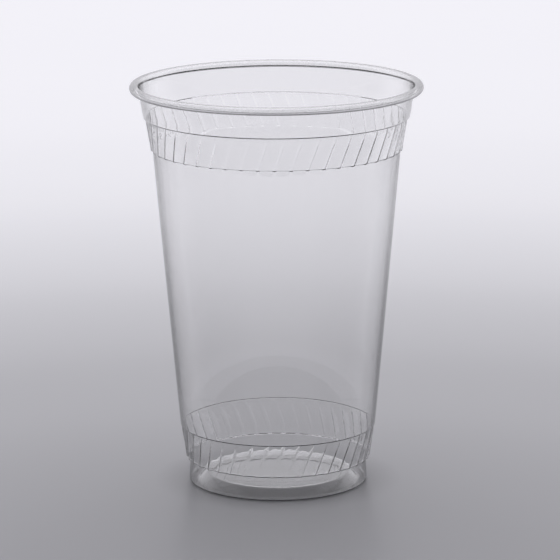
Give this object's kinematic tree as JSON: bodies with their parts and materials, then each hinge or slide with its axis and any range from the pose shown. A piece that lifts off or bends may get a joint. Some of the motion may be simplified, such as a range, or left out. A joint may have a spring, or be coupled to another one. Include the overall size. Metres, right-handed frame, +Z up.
{
  "type": "plastic disposable cup",
  "caption": "Clear thermoformed cold-drink cup with a tapered wall, a rolled rim, two bands of slanted ribs and a raised base in a stacking foot.",
  "frame": {"origin": "centre of the foot, on the surface that the cup stands on", "axes": "+Z up along the cup's axis, out of its mouth; +X and +Y across it"},
  "size_m": [0.098, 0.098, 0.1358],
  "materials": {
    "clear_plastic": "gloss"
  },
  "bodies": {
    "root": {"cup": "clear_plastic"}
  },
  "joints": []
}
